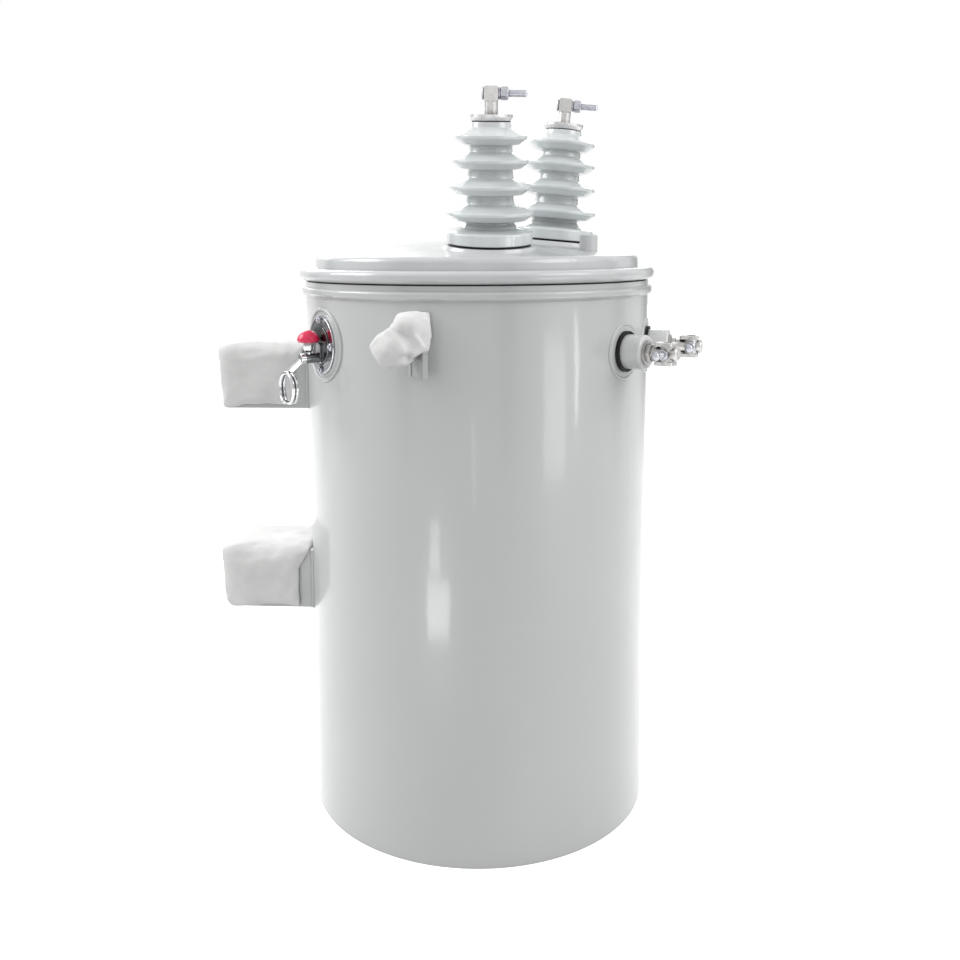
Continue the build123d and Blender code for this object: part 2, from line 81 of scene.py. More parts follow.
LUG_TURNS = {"front": radians(-104.5), "back": radians(104.5)}  # where the lifting lugs meet the wall
LUG_LEAN = radians(42)  # their plates lean this far away from the pole
LUG_THICKNESS = 6.5 * MM
LUG_REACH = 36 * MM
HANGER_PLATE = 6 * MM  # thickness of a hanger's side plates
LV_BEAD, SWITCH_BEAD = 34.7 * MM, 45.6 * MM  # radii of the beads round the bosses


# ---------------- sizes and colours to change
def length(name, description, millimetres):
    return FloatProperty(name=name, description=description, default=millimetres * MM, unit="LENGTH")


def angle(name, description, turn):
    return FloatProperty(name=name, description=description, default=turn, subtype="ANGLE")


def paint(name, description, colour):
    return FloatVectorProperty(
        name=name, description=description, default=colour, size=3, subtype="COLOR", min=0, max=1)


class FoamSizes(bpy.types.PropertyGroup):
    """Packing foam over the pole hangers and the lifting lugs."""

    thickness: length("Thickness", "Of the sheet folded over a hanger", 6.5)
    gap: length("Gap", "Between the foam and the steel", 0.4)
    swell: length("Swell", "Most that the foam bulges out of its starting shape", 5)
    crease: length("Crease", "Depth of the creases", 4)
    cell: length("Cell", "Edge of the remeshed cells", 2.6)
    pressure: FloatProperty(name="Pressure", description="Inside the foam while it settles", default=4.0)


class WeldSizes(bpy.types.PropertyGroup):
    """Painted weld beads."""

    hanger: length("Hanger bead", "Radius", 3.4)
    lug: length("Lug bead", "Radius", 2.2)
    boss: length("Boss bead", "Radius", 2.0)
    seam: length("Wall seam", "Radius", 2.2)
    rim: length("Rim bead", "Radius", 1.3)
    pitch: length("Ripple", "From one ripple to the next", 2.6)
    seam_turn: angle("Seam direction", "Of the wall's upright seam, about the tank's axis", radians(152))


class BoltSizes(bpy.types.PropertyGroup):
    """Threads, nuts and washers."""

    pitch: length("Thread pitch", "Of the clamp bolts", 1.5)
    depth: length("Thread depth", "Crest to root", 0.4)
    hv_nut: length("High-voltage nut", "Across its flats", 14)
    lv_nut: length("Low-voltage nut", "Across its flats", 12.5)
    flange_nut: length("Flange nut", "Across its flats", 8.5)
    stud_circle: length("Stud circle", "Radius of the circle the flange studs stand on", 32)


class RingSizes(bpy.types.PropertyGroup):
    """Split pull ring in the handle's end."""

    wire: length("Wire", "Radius of the ring's wire", 2.4)
    turn: angle("Turns", "How far the wire is wound round", radians(690))


class StageSizes(bpy.types.PropertyGroup):
    """Camera and light."""

    turn: angle("Camera turn", "From straight ahead, towards the low-voltage side", radians(4.0))
    distance: FloatProperty(
        name="Camera distance", description="From the tank's axis", default=6.111 * TANK_RADIUS,
        unit="LENGTH")
    height: FloatProperty(
        name="Camera height", description="Above the tank's underside", default=3.3257 * TANK_RADIUS,
        unit="LENGTH")
    pitch: angle("Camera pitch", "Downwards from level", 0.1328)
    pan: angle("Camera pan", "To the right of the tank's axis", 0.0025)
    roll: angle("Camera roll", "About the line of sight", 0.0044)
    lens: FloatProperty(name="Lens", description="Focal length in mm, sensor 36 mm wide", default=38.53)
    shift: FloatProperty(name="Lens shift", description="Upwards, a share of the width", default=-0.104)
    level: FloatProperty(name="Room light", description="Strength of the even light", default=0.80)


class Finishes(bpy.types.PropertyGroup):
    """Colours of the finishes."""

    tank: paint("Tank enamel", "Light grey gloss enamel", (0.55, 0.56, 0.56))
    # the same enamel as the tank, made paler: painted light on the top of the tank
    cover: paint("Cover enamel", "The same enamel, a little paler on the cover", (0.585, 0.60, 0.605))
    porcelain: paint("Porcelain glaze", "Glaze of the high-voltage bushings", (0.67, 0.70, 0.705))
    moulded: paint("Low-voltage body", "Epoxy of the low-voltage bushings", (0.67, 0.68, 0.675))
    signal: paint("Signal red", "Crimson cap of the breaker fitting", (0.80, 0.012, 0.085))
    foam: paint("Foam", "White packing foam", (0.80, 0.80, 0.795))


# ---------------- reading the frame
def corners(node):
    """Every different vertex of a CAD node."""
    return np.unique(np.round([v.co for v in frame["nodes"][node].data.vertices], 6), axis=0)


def line_through(node, towards, shortest=False):
    """The ends of a CAD node's middle line: its longest way, or its shortest for a disc or a ring."""
    points = corners(node)
    centre = points.mean(axis=0)
    axis = np.linalg.svd(points - centre, full_matrices=False)[2][2 if shortest else 0]
    axis = axis * np.sign(axis @ np.array(towards))
    along = (points - centre) @ axis
    return Vector(centre + axis * along.min()), Vector(centre + axis * along.max())


def heading(node):
    """Direction of a CAD node from the tank's axis."""
    x, y, _ = corners(node).mean(axis=0)
    return atan2(y, x)


def outwards(direction):
    return Vector((cos(direction), sin(direction), 0))


def point_to(axis, up="Y"):
    """The turn that lays +Z along an axis."""
    return axis.to_track_quat("Z", up).to_matrix().to_4x4()


# ---------------- the modeller's hands
def only(piece):
    """Object mode, with this piece alone selected and active."""
    if bpy.context.object and bpy.context.object.mode != "OBJECT":
        bpy.ops.object.mode_set(mode="OBJECT")
    bpy.ops.object.select_all(action="DESELECT")
    if piece:
        piece.select_set(True)
        bpy.context.view_layer.objects.active = piece


def named(name):
    """The piece that a primitive has just added, under its own name."""
    piece = bpy.context.object
    piece.name = piece.data.name = name
    return piece


def pick(piece, kind, chosen):
    """Edit mode, with only the chosen vertices, edges or faces selected."""
    only(piece)
    bpy.ops.object.mode_set(mode="EDIT")
    bpy.ops.mesh.select_mode(type=kind)
    bpy.ops.mesh.select_all(action="DESELECT")
    shape = bmesh.from_edit_mesh(piece.data)
    for element in {"VERT": shape.verts, "EDGE": shape.edges, "FACE": shape.faces}[kind]:
        element.select_set(bool(chosen(element)))
    shape.select_flush_mode()
    bmesh.update_edit_mesh(piece.data)


def round_edges(piece, chosen, offset, segments):
    """Bevels the chosen edges."""
    pick(piece, "EDGE", chosen)
    bpy.ops.mesh.bevel(offset=offset, segments=segments, affect="EDGES")


def turn_outwards(merge=False):
    """In edit mode: points every face outwards, after merging doubles if asked."""
    bpy.ops.mesh.select_all(action="SELECT")
    if merge:
        bpy.ops.mesh.remove_doubles(threshold=0.1 * HAIR)
    bpy.ops.mesh.normals_make_consistent(inside=False)


def cut_rings(piece, length, count):
    """Divides an upright rod of that length into that many rings."""
    pick(piece, "EDGE", lambda edge: abs(edge.verts[0].co.z - edge.verts[1].co.z) > length / 2)
    bpy.ops.mesh.subdivide(number_cuts=count - 1)


def modify(piece, kind, **settings):
    """Adds a modifier and applies it."""
    only(piece)
    modifier = piece.modifiers.new(kind.lower(), kind)
    for setting, value in settings.items():
        setattr(modifier, setting, value)
    bpy.ops.object.modifier_apply(modifier=modifier.name)


def settle(piece, turned=False):
    """Puts the piece's place and turn in its mesh."""
    only(piece)
    bpy.ops.object.transform_apply(location=not turned, rotation=True, scale=True)


def carry(piece, move):
    """Moves a piece by a matrix, and settles it there."""
    piece.matrix_world = move @ piece.matrix_world
    bpy.context.view_layer.update()
    settle(piece)


def swing(piece, direction):
    """Carries a piece made on the +Y side of the tank round to its direction."""
    carry(piece, Matrix.Rotation(direction - pi / 2, 4, "Z"))


def copied(piece, name, move):
    """A copy with its own mesh, moved by a matrix."""
    twin = piece.copy()
    twin.data = piece.data.copy()
    twin.name = twin.data.name = name
    bpy.context.collection.objects.link(twin)
    carry(twin, move)
    return twin


def joined(pieces, name):
    only(pieces[0])
    for piece in pieces:
        piece.select_set(True)
    bpy.ops.object.join()
    return named(name)


def smooth(piece, angle):
    only(piece)
    bpy.ops.object.shade_smooth_by_angle(angle=radians(angle))


def finished(piece, finish):
    piece.data.materials.clear()
    piece.data.materials.append(FINISHES[finish])


def fit(piece, slot, body="transformer", replaced=(), finish=None):
    """Gives a finished piece its place in the frame and its slot's finish, or another."""
    finished(piece, finish or slot)
    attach(piece, body)
    if replaced:
        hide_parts(*replaced)


# ---------------- materials
def set_sockets(node, sockets):
    for socket, value in sockets.items():
        node.inputs[socket.replace("_", " ").title()].default_value = value


def add(tree, kind, **sockets):
    """A new node, with the numbers of its sockets."""
    node = tree.nodes.new("ShaderNode" + kind)
    set_sockets(node, sockets)
    return node


def link(tree, *pairs):
    """Links each (output, input) pair."""
    for output, socket in pairs:
        tree.links.new(output, socket)


def feed(tree, shader, body, roughness=None):
    """Links the colour, and the roughness if it varies, to the shader."""
    tree.links.new(body, shader.inputs["Base Color"])
    if roughness:
        tree.links.new(roughness, shader.inputs["Roughness"])


def new_finish(name, colour, **sockets):
    """A material with its plain numbers set on the shader itself."""
    material = bpy.data.materials.new(name)
    material.use_nodes = True
    tree = material.node_tree
    shader = tree.nodes["Principled BSDF"]
    set_sockets(shader, {"base_color": (*colour, 1), **sockets})
    return material, tree, shader


def grain(tree, scale, detail=2.0, stretch=(1, 1, 1), kind="Noise"):
    """A pattern on the piece's own coordinates, as a factor."""
    place = add(tree, "TexCoord")
    mapping = add(tree, "Mapping", scale=stretch)
    pattern = add(tree, "Tex" + kind, scale=scale, detail=detail)
    link(tree, (place.outputs["Object"], mapping.inputs["Vector"]),
         (mapping.outputs["Vector"], pattern.inputs["Vector"]))
    return pattern.outputs["Fac" if kind == "Noise" else "Distance"]


def ranged(tree, factor, low, high, start=0.3, end=0.7):
    """The factor, spread from low to high."""
    span = add(tree, "MapRange", from_min=start, from_max=end, to_min=low, to_max=high)
    tree.links.new(factor, span.inputs["Value"])
    return span.outputs["Result"]


def tinted(tree, factor, first, second):
    """A colour between two, given as colours or as sockets."""
    mix = add(tree, "Mix")
    mix.data_type = "RGBA"
    tree.links.new(factor, mix.inputs["Factor"])
    for socket, colour in ((mix.inputs[6], first), (mix.inputs[7], second)):
        if isinstance(colour, bpy.types.NodeSocket):
            tree.links.new(colour, socket)
        else:
            socket.default_value = (*colour, 1)
    return mix.outputs[2]


def mottled(tree, colour, scale, detail, dark, light):
    """The colour in patches, from a darker to a lighter shade of it."""
    patches = ranged(tree, grain(tree, scale, detail), 0, 1)
    return tinted(tree, patches, shade(colour, dark), shade(colour, light))


def crevice_shade(tree, dark, body, reach, start=0.35, end=0.9):
    """Painted shade: dark deep in a crevice, and the body's colour on open surface."""
    shelter = add(tree, "AmbientOcclusion", distance=reach)
    shelter.samples = 8
    return tinted(tree, ranged(tree, shelter.outputs["AO"], 0, 1, start, end), dark, body)


def bumped(tree, shader, *layers):
    """Raises the surface by each layer's (factor, strength, height)."""
    normal = None
    for factor, strength, height in layers:
        bump = add(tree, "Bump", strength=strength, distance=height)
        tree.links.new(factor, bump.inputs["Height"])
        if normal:
            tree.links.new(normal, bump.inputs["Normal"])
        normal = bump.outputs["Normal"]
    tree.links.new(normal, shader.inputs["Normal"])
    tree.links.new(normal, shader.inputs["Coat Normal"])


def shade(colour, amount):
    return tuple(min(1, part * amount) for part in colour)


def enamel(name, colour, waves=0.35, wave_scale=6.5):
    """Gloss enamel on rolled sheet: orange peel, slow waves, faint runs and painted shade in its corners.
    """
    material, tree, shader = new_finish(
        name, colour, roughness=0.32, coat_weight=0.55, coat_roughness=0.09)
    runs = grain(tree, 9, 2, (1, 1, 0.12))
    body = mottled(tree, colour, 3.2, 3, 0.965, 1.03)
    body = tinted(tree, ranged(tree, runs, 0, 0.35), body, shade(colour, 0.93))
    # painted shade: the enamel darkens in corners and beside beads, where other parts shelter it
    body = crevice_shade(tree, shade(colour, 0.76), body, 8 * MM, 0.2, 0.8)
    feed(tree, shader, body, ranged(tree, grain(tree, 22, 4), 0.28, 0.39, 0.1, 0.9))
    bumped(tree, shader,
           (grain(tree, wave_scale, 1), waves, 5 * MM),
           (grain(tree, 38, 1), 0.14, 1.2 * MM),
           (grain(tree, 420, 2), 0.12, 0.25 * MM))
    return material


def glaze(name, colour):
    """Glassy glaze with fine specks, and painted shade darkening its hollows."""
    material, tree, shader = new_finish(
        name, colour, roughness=0.24, coat_weight=0.45, coat_roughness=0.07)
    specks = ranged(tree, grain(tree, 900, 1), 0, 0.5, 0.68, 0.74)
    body = tinted(tree, specks, mottled(tree, colour, 26, 2, 0.95, 1.05), shade(colour, 0.72))
    # painted shade: the glaze darkens in its hollows
    body = crevice_shade(tree, shade(colour, 0.66), body, 16 * MM, 0.2, 0.95)
    feed(tree, shader, body)
    bumped(tree, shader, (grain(tree, 45, 1), 0.2, 1.0 * MM), (grain(tree, 260, 1), 0.06, 0.3 * MM))
    return material


def metal(name, colour, recess_shade, polish, wear=0.22, waves=0.1, reach=6 * MM):
    """Plated or cast metal: cloudy polish, fine scratches, and painted shade darkening its recesses."""
    material, tree, shader = new_finish(name, colour, metallic=1.0, roughness=polish)
    body = mottled(tree, colour, 140, 4, 1 - wear, 1.06)
    # painted shade: the metal takes the recess colour deep in its recesses
    body = crevice_shade(tree, recess_shade, body, reach, 0.3, 0.95)
    feed(tree, shader, body, ranged(tree, grain(tree, 320, 3), polish * 0.7, polish * 1.5))
    bumped(tree, shader, (grain(tree, 110, 1), waves, 0.8 * MM), (grain(tree, 1500, 2), 0.12, 0.08 * MM))
    return material


def gloss_moulding(name, colour, gloss=0.25, coat=0.4):
    """Moulded plastic or epoxy with a slightly uneven skin."""
    material, tree, shader = new_finish(
        name, colour, roughness=gloss, coat_weight=coat, coat_roughness=0.06)
    body = mottled(tree, colour, 60, 3, 0.94, 1.06)
    # painted shade: darker deep in crevices
    body = crevice_shade(tree, shade(colour, 0.55), body, 5 * MM)
    feed(tree, shader, body, ranged(tree, grain(tree, 180, 3), gloss * 0.8, gloss * 1.3))
    bumped(tree, shader, (grain(tree, 70, 1), 0.12, 0.8 * MM), (grain(tree, 800, 2), 0.1, 0.1 * MM))
    return material


def rubber(name, colour):
    """Matt nitrile rubber with a fine grain."""
    material, tree, shader = new_finish(name, colour, roughness=0.55)
    shader.inputs["Specular IOR Level"].default_value = 0.2
    body = mottled(tree, colour, 90, 3, 0.8, 1.5)
    feed(tree, shader, body, ranged(tree, grain(tree, 400, 2), 0.42, 0.65))
    bumped(tree, shader, (grain(tree, 1100, 2), 0.25, 0.12 * MM))
    return material


def packing_foam(name, colour):
    """Closed-cell foam sheet: fine cells, soft creases, light passing into it."""
    material, tree, shader = new_finish(
        name, colour, roughness=0.78, sheen_weight=0.15, subsurface_weight=0.3, subsurface_scale=8 * MM)
    shader.inputs["Subsurface Radius"].default_value = (1.0, 0.98, 0.95)
    body = mottled(tree, colour, 24, 4, 0.9, 1.06)
    # painted shade: the foam darkens in its creases and folds
    body = crevice_shade(tree, shade(colour, 0.7), body, 9 * MM, 0.25, 0.95)
    feed(tree, shader, body)
    bumped(tree, shader,
           (grain(tree, 70, 3), 0.35, 1.6 * MM),
           (grain(tree, 420, 0, kind="Voronoi"), 0.35, 0.35 * MM),
           (grain(tree, 1300, 2), 0.2, 0.1 * MM))
    return material


FINISHES = {}
SHADED_LUGS = ("lifting_lug_front", "lifting_lug_back")  # nodes given a darker copy of the tank enamel: painted shade from the foam over them


def make_finishes(colours):
    """One material for each of the record's slots, and a few more for pieces that differ, among them a
    darker copy of the tank enamel that paints shade on the lifting lugs.
    """
    FINISHES.update({
        "tank_paint": enamel("tank_enamel", colours.tank),
        # the tank enamel darkened: painted shade on the lifting lugs under their foam
        "lug_painted_shade": enamel("lug_enamel_painted_shade", shade(colours.tank, 0.74)),
        # paler copy of the tank enamel: painted light on the cover
        "cover_paint": enamel("cover_enamel_painted_light", colours.cover, 0.8, 16),
        "cover_seal": rubber("cover_seal_rubber", (0.035, 0.035, 0.04)),
        "bushing_seal": rubber("bushing_seal_rubber", (0.012, 0.012, 0.014)),
        "porcelain": glaze("porcelain_glaze", colours.porcelain),
        # the second colour of each metal is its painted shade in recesses
        "cap_metal": metal("cap_tin", (0.64, 0.63, 0.64), (0.31, 0.30, 0.31), 0.38, 0.12),
        "terminal_metal": metal(
            "terminal_tin", (0.56, 0.555, 0.545), (0.22, 0.215, 0.21), 0.40, 0.08, 0.06),
        "zinc": metal("bolt_zinc", (0.52, 0.525, 0.57), (0.11, 0.11, 0.125), 0.32, 0.10, reach=3 * MM),
        "lv_body": gloss_moulding("low_voltage_epoxy", colours.moulded),
        "chrome": metal("handle_chrome", (0.62, 0.625, 0.64), (0.04, 0.04, 0.045), 0.09, 0.12, 0.3),
        "signal_red": gloss_moulding("signal_cap_plastic", colours.signal, 0.3, 0.3),
        "signal_white": gloss_moulding("signal_neck_plastic", (0.78, 0.78, 0.78), 0.3, 0.2),
        "foam": packing_foam("wrap_foam", colours.foam),
        # the hub and sleeve are chrome; their dark base colour is painted dark reflection
        "dark_steel": metal("hub_painted_dark_reflection", (0.17, 0.175, 0.18), (0.02, 0.02, 0.022), 0.18, 0.3, 0.3),
    })


def paint_nodes():
    """Gives every shown CAD node its finish."""
    slot_of = {entry["node"]: entry["material_slot"] for entry in frame["record"]["subparts"]}
    for node, piece in frame["nodes"].items():
        # the lifting lugs take the darker copy of the enamel: painted shade
        finished(piece, "lug_painted_shade" if node in SHADED_LUGS else slot_of[node])


# ---------------- foam wraps
def lumps(kind, size):
    """A pattern for the Displace modifier."""
    pattern = bpy.data.textures.new("lumps", kind)
    pattern.noise_scale = size
    return pattern


def group_of(piece, name, weight):
    """A vertex group with each vertex's weight from its place."""
    group = piece.vertex_groups.new(name=name)
    for vertex in piece.data.vertices:
        share = weight(vertex.co)
        if share > 0:
            group.add([vertex.index], min(1, share), "REPLACE")


def puff(piece, pinned, pressure, most):
    """Swells the foam under pressure, held where it lies on the steel; no point moves past most."""
    before = [vertex.co.copy() for vertex in piece.data.vertices]
    only(piece)
    cloth = piece.modifiers.new("settle", "CLOTH")
    cloth.settings.vertex_group_mass = pinned
    cloth.settings.use_pressure = True
    cloth.settings.uniform_pressure_force = pressure
    cloth.settings.effector_weights.gravity = 0
    cloth.settings.quality = 5
    for step in range(1, 21):
        bpy.context.scene.frame_set(step)
    bpy.ops.object.modifier_apply(modifier=cloth.name)
    for vertex, start in zip(piece.data.vertices, before):
        move = vertex.co - start
        vertex.co = start + move * (most / (most + move.length))
    bpy.context.scene.frame_set(1)


def out_of(spot, place, low, high, free):
    """Moves a point out of a steel block by its nearest free side; a side is (axis, is the upper one)."""
    inside = place.inverted() @ spot
    if all(low[i] < inside[i] < high[i] for i in range(3)):
        ways = [(abs(inside[axis] - (high if upper else low)[axis]), axis, upper) for axis, upper in free]
        _, axis, upper = min(ways)
        inside[axis] = (high if upper else low)[axis]
        return place @ inside
    return spot


def keep_off(piece, clear):
    """Moves each vertex to where clear puts it."""
    for vertex in piece.data.vertices:
        vertex.co = clear(vertex.co.copy())


def finish_foam(piece, sizes, held, weight, clear, seed, share=1, soften=3):
    """Remesh, swell, crease and smooth: what all foam gets; a smaller share is finer and firmer."""
    deep = sizes.crease
    modify(piece, "REMESH", mode="VOXEL", voxel_size=sizes.cell * (0.5 + 0.5 * share))
    group_of(piece, "held", held)
    puff(piece, "held", sizes.pressure, sizes.swell * share)
    group_of(piece, "free", lambda spot: 0 if held(spot) else weight(spot))
    shape = {"vertex_group": "free", "texture_coords": "LOCAL", "mid_level": 0.5}
    slow, creases = lumps("CLOUDS", 24 * MM * seed), lumps("VORONOI", 19 * MM * seed)
    slow.noise_depth = 1
    crinkle = lumps("CLOUDS", 6.5 * MM)
    modify(piece, "DISPLACE", texture=slow, strength=1.3 * deep, **shape)
    modify(piece, "DISPLACE", texture=creases, strength=-1.6 * deep, **shape)
    modify(piece, "DISPLACE", texture=crinkle, strength=0.32 * deep, **shape)
    modify(piece, "SMOOTH", factor=0.5, iterations=soften)
    keep_off(piece, clear)
    modify(piece, "SUBSURF", levels=1, render_levels=1)
    keep_off(piece, clear)
    piece.vertex_groups.clear()
    only(piece)
    bpy.ops.object.shade_smooth()


# how each hanger's foam ends at the pole, in mm: past the steel, slant of its end, round of the lower
# corner, and its lower edge as (share of the way from the pole, lift)
HANGER_ENDS = {
    "upper": (3.5, 5.5, 6, ((0, -2.2), (0.2, -1.6), (0.32, 2.0), (1, 2.2))),
    "lower": (8.5, 4.5, 14, ((0, -1.5), (0.45, -1.4), (0.6, 0.6), (1, -0.6))),
}
FOLD_ROUND = 10 * MM  # of the two long edges on top
FLAP_DEPTH = 0.34  # share of the foam's height that runs on to the tank's wall
FLAP_START = 0.9  # share of its length where that begins
CUTS_ALONG, CUTS_DOWN = 16, 8


def hanger_foam(level, sizes):
    """A foam sheet folded over a pole hanger, open below and at the pole face."""
    node = f"hanger_wrap_{level}"
    low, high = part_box(node)
    steel_low, steel_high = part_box(f"hanger_{level}")
    past, slant, corner, lower_edge = HANGER_ENDS[level]
    end = steel_low.x - past * MM
    slack = sizes.swell * 0.35
    top = high.z - slack / 2
    length, height = high.x - end, top - low.z
    bpy.ops.mesh.primitive_cube_add(
        size=1, location=((end + high.x) / 2, 0, (low.z + top) / 2),
        scale=(length, high.y - low.y - 2 * slack, height))
    sheet = named(f"foam_hanger_{level}")
    settle(sheet)
    pick(sheet, "FACE", lambda face: abs(face.normal.x) > 0.9 or face.normal.z < -0.9)
    bpy.ops.mesh.delete(type="FACE")
    round_edges(sheet, lambda edge: all(v.co.z > top - MM for v in edge.verts) and abs(
        edge.verts[0].co.x - edge.verts[1].co.x) > MM, FOLD_ROUND, 6)
    pick(sheet, "VERT", lambda v: v.co.z < low.z + MM and v.co.x < end + MM)
    bpy.ops.mesh.bevel(offset=corner * MM, segments=6, affect="VERTICES")
    for cut in range(1, CUTS_ALONG):
        pick(sheet, "FACE", lambda face: True)
        bpy.ops.mesh.bisect(plane_co=(end + length * cut / CUTS_ALONG, 0, 0), plane_no=(1, 0, 0))
    for cut in range(1, CUTS_DOWN):
        pick(sheet, "FACE", lambda face: True)
        bpy.ops.mesh.bisect(plane_co=(0, 0, low.z + height * cut / CUTS_DOWN), plane_no=(0, 0, 1))
    only(sheet)
    for vertex in sheet.data.vertices:
        down = max(0, top - vertex.co.z) / height
        along = max(0, vertex.co.x - end) / length
        lift = np.interp(along, *zip(*lower_edge)) + 0.7 * noise.noise(vertex.co * 45)
        vertex.co.z += float(lift) * MM * down ** 6
        vertex.co.x += slant * MM * (1 - along) * down ** 1.3
        if along > FLAP_START:
            wall = -sqrt(TANK_RADIUS**2 - vertex.co.y**2) - 4 * MM
            over = max(0, 1 - down / FLAP_DEPTH) ** 0.7
            vertex.co.x += (wall - high.x) * over * (along - FLAP_START) / (1 - FLAP_START)
            vertex.co.x += 3.0 * MM * noise.noise(vertex.co * 60) * (1 - over)
    modify(sheet, "SOLIDIFY", thickness=sizes.thickness, offset=-1)
    for vertex in sheet.data.vertices:
        near_end = max(0, 1 - (vertex.co.x - end) / (16 * MM)) ** 2
        over = max(0, vertex.co.z - steel_high.z) / sizes.thickness
        vertex.co.z -= 4.0 * MM * near_end * over
        vertex.co.y *= 1 - 0.035 * near_end

    reach = sizes.gap + 1.4 * MM

    def on_steel(spot):
        return abs(spot.y) < steel_high.y + reach and spot.z < steel_high.z + reach

    def free_weight(spot):
        return 0.12 + 0.75 * max(0, (spot.x - end) / length - 0.55) ** 1.1

    block = (Matrix(), Vector((steel_low.x - 1, steel_low.y - sizes.gap, steel_low.z - 1)),
             Vector((0, steel_high.y + sizes.gap, steel_high.z + sizes.gap)),
             [(1, False), (1, True), (2, True)])
    finish_foam(sheet, sizes, on_steel, free_weight, lambda spot: out_of(spot, *block),
                seed=1.0 if level == "upper" else 1.15)
    fit(sheet, "foam", replaced=[node])


# lobes of the crumpled foam, in mm and degrees: (towards the pole, out of the wall, above the foam's
# foot), half sizes, turn about the upright, tilt about the way out, and how round
LUG_LOBES = (
    ((10, 41, 24), (19, 21, 19), 0, 42, 0.55),
    ((-7, 28, 48), (15, 23, 15), 0, 0, 0.7),
    ((-21.5, 15, 46), (3.2, 13, 16.5), 8, 4, 0.3),
    ((-15.5, 44, 28.5), (10.5, 6, 13.5), 18, 38, 0.2),
    ((4, 37, 9), (14, 19, 7), 0, 8, 0.8),
    ((-11, 16, 38), (8, 24, 21), 42, 0, 0.45),
    ((4, 17, 30), (18, 12, 20), 0, 0, 0.7),
)


def lug_space(end, gap):
    """The space of a lug's plate in a piece made on the +Y side, open below and at the wall."""
    low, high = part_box(f"lifting_lug_{end}")
    lean = LUG_LEAN if end == "front" else -LUG_LEAN
    half = LUG_THICKNESS / 2 + gap
    place = Matrix.Translation((0, TANK_RADIUS, 0)) @ Matrix.Rotation(lean, 4, "Z")
    return (place, Vector((-half, -LUG_REACH, low.z - 1)), Vector((half, LUG_REACH + gap, high.z + gap)),
            [(0, False), (0, True), (1, True), (2, True)])


def lug_foam(end, sizes):
    """A wad of foam crumpled over a lifting lug; the plate comes out below."""
    node = f"lug_wrap_{end}"
    side = 1 if end == "front" else -1  # the pole is on the +X side of the front one
    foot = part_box(node)[0].z
    lobes = []
    for spot, half, turn, tilt, roundness in LUG_LOBES:
        bpy.ops.mesh.primitive_cube_add(size=2)
        lobe = named("lobe")
        pick(lobe, "EDGE", lambda edge: True)
        bpy.ops.mesh.subdivide(number_cuts=9)
        modify(lobe, "CAST", factor=roundness, size=1.12)
        lobe.scale = Vector(half) * MM
        lobe.rotation_euler = (0, radians(tilt) * side, radians(turn) * side)
        lobe.location = (side * spot[0] * MM, TANK_RADIUS + spot[1] * MM, foot + spot[2] * MM)
        bpy.context.view_layer.update()
        settle(lobe)
        lobes.append(lobe)
    wad = joined(lobes, f"foam_lug_{end}")
    modify(wad, "REMESH", mode="VOXEL", voxel_size=0.8 * sizes.cell)
    place, low, high, free = lug_space(end, sizes.gap)
    bpy.ops.mesh.primitive_cube_add(size=1, location=(low + high) / 2, scale=high - low)
    tool = named("plate_space")
    tool.matrix_world = place @ tool.matrix_world
    bpy.context.view_layer.update()
    modify(wad, "BOOLEAN", operation="DIFFERENCE", object=tool, solver="EXACT")
    bpy.data.objects.remove(tool)

    def on_steel(spot):
        inside = place.inverted() @ spot
        return all(low[i] - 1.3 * MM < inside[i] < high[i] + 1.3 * MM for i in range(3))

    def clear(spot):
        spot = out_of(spot, place, low, high, free)
        wall = (TANK_RADIUS + sizes.gap) / max(MM, spot.xy.length)
        if wall > 1:
            spot.x, spot.y = spot.x * wall, spot.y * wall
        return spot

    finish_foam(wad, sizes, on_steel, lambda spot: 0.5, clear,
                seed=1.0 if end == "front" else 1.2, share=0.5, soften=1)
    swing(wad, LUG_TURNS[end])
    fit(wad, "foam", replaced=[node])


# ---------------- welds
def ripple(piece, step_of, amount):
    """Pulls in every other ring of a bead, as the weld's ripples."""
    pick(piece, "VERT", lambda v: step_of(v.co) % 2)
    bpy.ops.transform.shrink_fatten(value=-amount)
    only(piece)


def wall_bead(name, radius, foot, sizes, length):
    """An upright bead of that radius, standing at foot."""
    steps = max(4, round(length / sizes.pitch) * 2)
    bpy.ops.mesh.primitive_cylinder_add(
        vertices=12, radius=radius, depth=length, location=(foot[0], foot[1], foot[2] + length / 2))
    bead = named(name)
    cut_rings(bead, length, steps)
    round_edges(bead, lambda edge: all(abs(abs(v.co.z) - length / 2) < HAIR for v in edge.verts),
                0.45 * radius, 3)
    ripple(bead, lambda spot: round((spot.z / length + 0.5) * steps), 0.12 * radius)
    settle(bead)
    smooth(bead, 80)
    return bead


def boss_bead(name, node, ring, radius, sizes):
    """A bead round a boss, following the tank's curve."""
    low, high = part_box(node)
    height = (low.z + high.z) / 2
    steps = 2 * round(2 * pi * ring / sizes.pitch / 2) * 2
    bpy.ops.mesh.primitive_torus_add(
        major_radius=ring, minor_radius=radius, major_segments=steps, minor_segments=14,
        location=(0, TANK_RADIUS, height), rotation=(pi / 2, 0, 0))
    bead = named(name)
    settle(bead, turned=True)
    ripple(bead, lambda spot: round(atan2(spot.z, spot.x) / (2 * pi) * steps), 0.10 * radius)
    across = bead.dimensions.x
    modify(bead, "SIMPLE_DEFORM", deform_method="BEND", deform_axis="Z", angle=-across / TANK_RADIUS)
    swing(bead, heading(node))
    smooth(bead, 80)
    return bead


